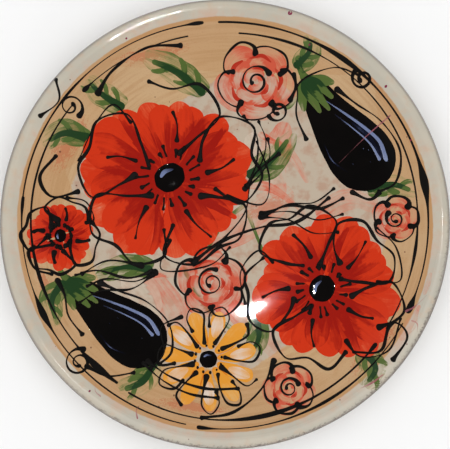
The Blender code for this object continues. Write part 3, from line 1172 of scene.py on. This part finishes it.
# %% Splashes
SPLASHES = [(46, 150, 2.3), (114, 98, 1.3), (-70, 132, 1.0), (-96, -118, 1.0), (132, 60, 0.8),
            (60, 128, 0.9)]
for x, y, half in SPLASHES:
    head, tail = (x - half * 0.5, y + half * 0.4), (x + half * 0.6, y - half * 0.5)
    rows = [(*head, half * 0.8), (x, y, half), (*tail, half * 0.7)]
    lay("plum", rows, load=(1, 1, 1), film=0.04)
lay("plum", [(118, 78, 0.5), (100, 62, 0.35), (82, 44, 0.25)], load=(0.5, 0.3, 0.15), film=0.02)
lay("plum", [(112, -106, 0.4), (104, -112, 0.7), (96, -116, 0.3)], load=(0.4, 0.5, 0.2), film=0.02)
HAIRS = [[(128, -62), (135, -58), (143, -50)], [(132, -68), (136, -70), (136, -76)],
         [(-88, -122), (-92, -118), (-92, -112)], [(-62, -138), (-63, -132), (-60, -128)]]
for places in HAIRS:
    rows = [(x, y, half) for (x, y), half in zip(places, (0.7, 0.5, 0.3))]
    lay("plum", rows, load=(0.5, 0.35, 0.15), film=0.02)

# %% [markdown]
# ## The paints' material
#
# One node group serves all the paints. Along a stroke it draws the marks of the bristles, from the
# stroke's own UV map, whose u runs across and v along in millimetres. With the depth stored on the
# mesh that gives a colour from thin to deep, and where the paint is thin the colour of what lies
# beneath, which is either earlier paint, stored on the mesh too, or the bare ground.

# %% The brush group
BRISTLE_HEIGHT = 0.01


def build_brush():
    """Node group: streaks from the UV map change the depth, and the depth picks the colour."""
    inputs = [(name, "Color") for name in ("Thin", "Full", "Deep")]
    inputs += [("Cover", "Float"), ("Streaks", "Float")]
    outputs = [("Colour", "Color"), ("Height", "Float")]
    group, n, start, end = new_group("brushed glaze", inputs, outputs)
    along = n.add("ShaderNodeUVMap", uv_map="brush").outputs[0]
    drag = n.vector("MULTIPLY", along, (0.5, 0.03, 0.0))
    bristle = n.noise(drag, 1.0, detail=5.0, roughness=0.65)
    place = n.place()
    amount = n.plus(n.stored("depth"), n.swing(bristle, start.outputs["Streaks"]))
    amount = n.plus(amount, n.swing(n.noise(place, 0.07, detail=3.0), 0.8))
    amount = n.plus(amount, n.swing(n.noise(place, 1.1, detail=2.0), 0.16))
    tone = n.tint(start.outputs["Thin"], start.outputs["Full"], amount, *TO_FULL)
    tone = n.tint(tone, start.outputs["Deep"], amount, *TO_DEEP)
    bare = n.add("ShaderNodeGroup", node_tree=ground).outputs["Colour"]
    beneath = n.mix(n.stored("painted"), bare, n.stored("under", "Color"))
    cover = n.step(amount, COVER_FROM, start.outputs["Cover"])
    n.put(n.mix(cover, beneath, tone), end.inputs["Colour"])
    n.put(n.times(bristle, BRISTLE_HEIGHT), end.inputs["Height"])
    return group


brush = build_brush()
# Roughness and specular level of the pigments that differ from the rest.
GLOSS = {"line": (0.5, 0.25), "green": (0.03, 0.5)}
STREAKS = {
    "red": 0.9, "pink": 0.9, "green": 1.5, "ochre": 0.7, "white": 1.0, "black": 0.25,
    "blue": 0.7, "line": 0.05, "plum": 0.4,
}


def paint_material(pigment):
    """Glazed material of one pigment."""
    thin, full, deep, cover = PIGMENTS[pigment]
    rough, specular = GLOSS.get(pigment, (0.015, 0.5))
    values = {"Thin": thin, "Full": full, "Deep": deep, "Cover": cover, "Streaks": STREAKS[pigment]}

    def finish(n):
        node = n.add("ShaderNodeGroup", node_tree=brush)
        for label, value in values.items():
            n.put(value, node.inputs[label])
        return node.outputs["Colour"], node.outputs["Height"], rough

    return glazed(f"{pigment} paint", finish, bump=0.05, specular=specular)


# %% From strokes to pieces
# Moves each stroke to another place in the bristle pattern.
UV_SHIFT = (37, 91)


def closed_strokes(batch):
    """All strokes of one pigment as one mesh. Each is a top grid, the same grid again below it with
    its faces turned over, and a wall of faces that joins the two round the outside."""
    points, faces, uvs, depths, unders, covers = [], [], [], [], [], []
    start = 0
    for grid, lift, depth, under, cover, at, across, seed in batch:
        rows, columns = grid.shape[:2]
        base = glaze_height(np.hypot(grid[..., 0], grid[..., 1]))
        outside = (np.abs(across)[None] >= 1) | (at[:, None] <= 0) | (at[:, None] >= at[-1])
        top = np.dstack([grid, base + lift - KEEP_CLEAR * outside]).reshape(-1, 3)
        low = np.dstack([grid, base - FILM_BELOW]).reshape(-1, 3)
        index = np.arange(rows * columns).reshape(rows, columns) + start
        corners = [index[:-1, :-1], index[1:, :-1], index[1:, 1:], index[:-1, 1:]]
        upper = np.stack(corners, 2).reshape(-1, 4)
        lower = upper[:, ::-1] + rows * columns
        edge = np.concatenate([index[:-1, 0], index[-1, :-1], index[:0:-1, -1], index[0, :0:-1]])
        ahead = np.roll(edge, -1)
        wall = np.stack([ahead, edge, edge + rows * columns, ahead + rows * columns], 1)
        half = np.hypot(*(grid[:, -1] - grid[:, 0]).T) / 2
        u = across[None] * half[:, None] + seed * UV_SHIFT[0]
        v = at[:, None] + 0 * across + seed * UV_SHIFT[1]
        points.append(np.vstack([top, low]))
        faces.append(np.vstack([upper, lower, wall]))
        uv = np.dstack([u, v]).reshape(-1, 2)
        values = (uv, depth.ravel(), under.reshape(-1, 3), cover.ravel())
        for stored, value in zip((uvs, depths, unders, covers), values):
            stored.append(np.concatenate([value, value]))
        start += 2 * rows * columns
    return [np.concatenate(part) for part in (points, faces, uvs, depths, unders, covers)]


def level_skin(mesh, points, relief):
    """Glaze melts to one level skin, so a film's normals are mostly those of the plate under it:
    the plate's normal times 1 - relief plus the film's own times relief, turned over underneath."""
    radius = np.hypot(points[:, 0], points[:, 1])
    slope = glaze_height(radius + 0.5) - glaze_height(radius - 0.5)
    inward = -slope[:, None] * points[:, :2] / np.maximum(radius, 0.01)[:, None]
    plain = np.column_stack([inward, np.ones(len(points))])
    plain /= np.linalg.norm(plain, axis=1)[:, None]
    own = np.empty(3 * len(points), np.float32)
    mesh.vertices.foreach_get("normal", own)
    own = own.reshape(-1, 3)
    plain *= np.where(own[:, 2:] < 0, -1, 1)
    mesh.normals_split_custom_set_from_vertices((plain * (1 - relief) + own * relief).tolist())


# How much of its own normals a pigment keeps. The others lie wholly in the skin.
RELIEF = {"black": 0.3, "line": 1.0}
for pigment, batch in strokes.items():
    points, faces, uvs, depths, unders, covers = closed_strokes(batch)
    material = paint_material(pigment)
    name = f"paint_{pigment}"
    piece = make_piece(name, points, faces, NO_TRIANGLES, material)
    level_skin(piece.data, points, RELIEF.get(pigment, 0.0))
    set_point_values(piece.data, "depth", depths)
    set_point_values(piece.data, "painted", covers)
    set_point_colours(piece.data, "under", unders)
    layer = piece.data.uv_layers.new(name="brush")
    corner = np.empty(len(piece.data.loops), np.int32)
    piece.data.loops.foreach_get("vertex_index", corner)
    layer.uv.foreach_set("vector", uvs[corner].astype(np.float32).ravel())

# %% [markdown]
# ## Studio
#
# The plate is photographed straight from above on a pale ground. The light is broad and soft, and
# the space right above the plate is dark, so black glaze stays black. For the same reason glossy
# rays see a dimmer room. One small bright lamp beside the camera gives the flash along the lip and
# the patch of shine in the well. It shows in gloss alone, so that it casts no light of its own.

# %% Camera
PHOTO_WIDTH = 450
RIM_PIXELS = 225.0
SENSOR = 36.0
CAMERA_HEIGHT = 1200.0
camera_data = bpy.data.cameras.new("camera")
camera_data.sensor_width = SENSOR
camera_distance = CAMERA_HEIGHT - MIDDLE_AT_LIP
camera_data.lens = SENSOR * RIM_PIXELS / PHOTO_WIDTH * camera_distance / PLATE_RADIUS
camera_data.clip_end = 20.0
camera = show("camera", camera_data)
camera.location = (0, 0, CAMERA_HEIGHT * MM)
bpy.context.scene.camera = camera
print(f"lens {camera_data.lens:.1f} mm")

# %% Floor
# In metres. The floor is just below the foot's face, so that the two don't flicker.
FLOOR_HALF = 3.0
FLOOR_LEVEL = -0.05 * MM
CORNERS = ((-1, -1), (1, -1), (1, 1), (-1, 1))
floor_corners = [(x * FLOOR_HALF, y * FLOOR_HALF, FLOOR_LEVEL) for x, y in CORNERS]
floor_mesh = bpy.data.meshes.new("floor")
floor_mesh.from_pydata(floor_corners, [], [(0, 1, 2, 3)])
floor_material = bpy.data.materials.new("pale floor")
floor_material.use_nodes = True
floor_shader = floor_material.node_tree.nodes["Principled BSDF"]
floor_shader.inputs["Base Color"].default_value = (0.95, 0.95, 0.95, 1.0)
floor_shader.inputs["Roughness"].default_value = 0.8
floor_shader.inputs["Specular IOR Level"].default_value = 0.1
floor_mesh.materials.append(floor_material)
floor = show("floor", floor_mesh)


# %% Lights
def area_light(name, place, width, height, radiance, shows_in_gloss):
    """Rectangular light that faces the plate. Its power is radiance * pi * area, in metres."""
    data = bpy.data.lights.new(name, "AREA")
    data.shape = "RECTANGLE"
    data.size = width
    data.size_y = height
    data.energy = radiance * math.pi * width * height
    light = show(name, data)
    light.location = place
    light.rotation_euler = (-Vector(place)).to_track_quat("-Z", "Y").to_euler()
    light.visible_glossy = shows_in_gloss
    light.visible_camera = False
    return light


def bearing(angle, away, height):
    """Place above the plate: angle round it in degrees, distance off its axis, and height."""
    return (away * math.cos(math.radians(angle)), away * math.sin(math.radians(angle)), height)


area_light("overhead softbox", (0, 0, 2.4), width=3.0, height=3.0, radiance=1.92,
           shows_in_gloss=False)
lamp = area_light("lamp beside the camera", bearing(107, 0.052, 1.6), width=0.009, height=0.010,
                  radiance=6000.0, shows_in_gloss=True)
lamp.visible_diffuse = False
area_light("low window", bearing(-87, 1.9, 1.25), width=0.30, height=0.20, radiance=9.0,
           shows_in_gloss=True)

HORIZON = (0.64, 0.64, 0.64)
ZENITH = (0.03, 0.03, 0.03)
DIMMER_IN_GLOSS = 0.65

world = bpy.data.worlds.new("studio")
bpy.context.scene.world = world
world.use_nodes = True
n = Nodes(world.node_tree)
direction = n.add("ShaderNodeTexCoord").outputs["Generated"]
up = n.add("ShaderNodeSeparateXYZ", {0: direction}).outputs["Z"]
sky = n.tint(HORIZON, ZENITH, up, 0.60, 0.93)
in_gloss = n.add("ShaderNodeLightPath").outputs["Is Glossy Ray"]
sky = n.mix(n.times(in_gloss, DIMMER_IN_GLOSS), sky, ZENITH)
n.put(sky, world.node_tree.nodes["Background"].inputs["Color"])

bpy.context.scene.view_settings.view_transform = "Standard"
bpy.context.scene.view_settings.look = "None"
